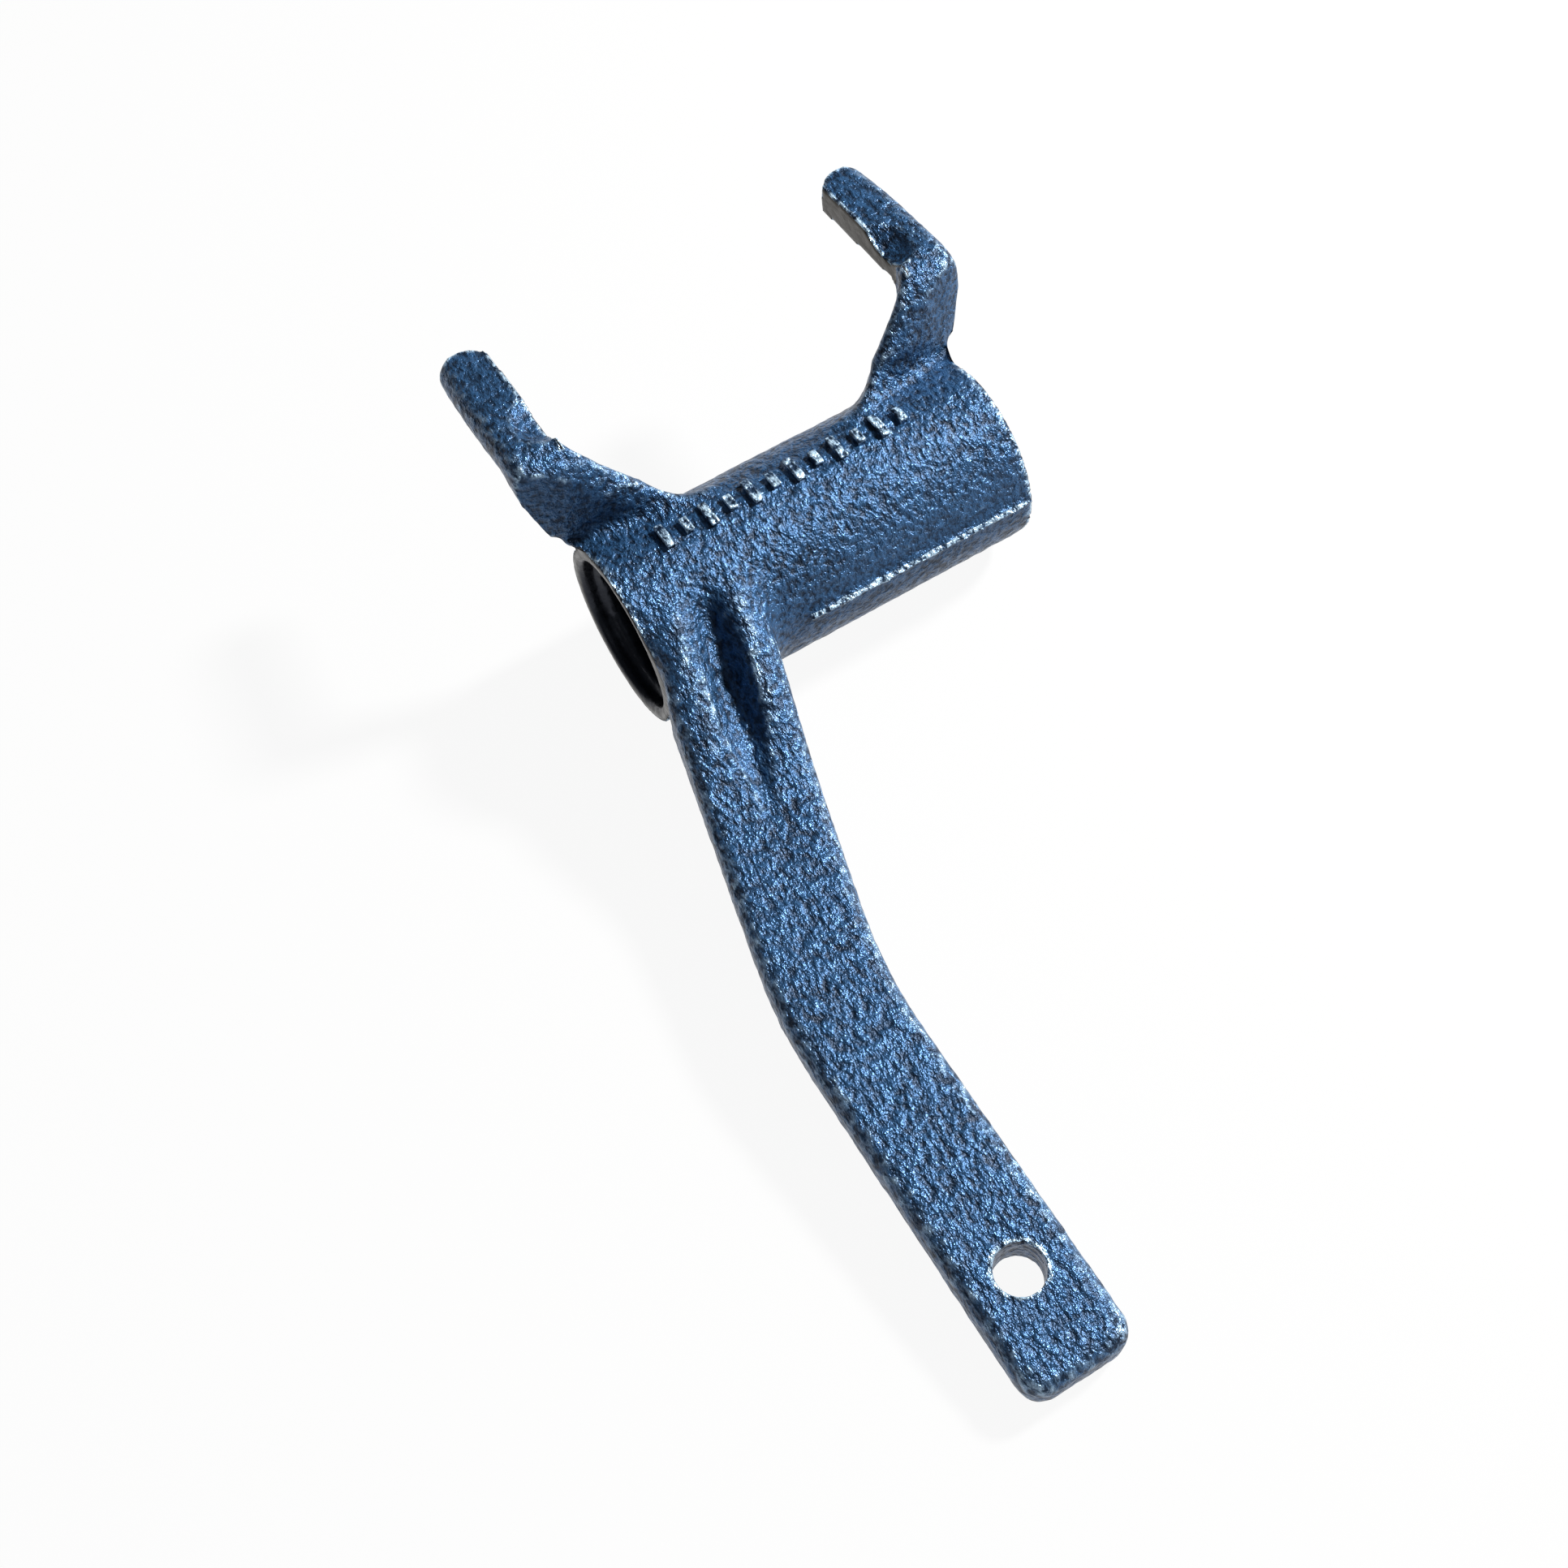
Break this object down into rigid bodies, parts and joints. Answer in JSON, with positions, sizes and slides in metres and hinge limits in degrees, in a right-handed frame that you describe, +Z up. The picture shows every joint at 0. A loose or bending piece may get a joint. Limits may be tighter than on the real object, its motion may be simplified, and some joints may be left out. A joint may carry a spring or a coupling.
{
  "type": "clutch fork",
  "caption": "One-piece clutch release fork: a bored tubular hub, a cranked lever arm with an eye at its end, and two raised prongs that span a release bearing.",
  "frame": {"origin": "centre of the hub bore, on its axis, midway between the hub's end faces", "axes": "+X along the hub bore, away from the lever arm's side; +Y from the hub towards the prongs, level; +Z up, with the hub and the arm's end lying on one flat surface"},
  "size_m": [0.1013, 0.2052, 0.0517],
  "materials": {
    "forged_metal": "rough as-forged skin, blue-grey with a soft sheen; bore, hub ends and finger faces machined smooth"
  },
  "bodies": {
    "root": {"fork_casting": "forged_metal"}
  },
  "joints": []
}
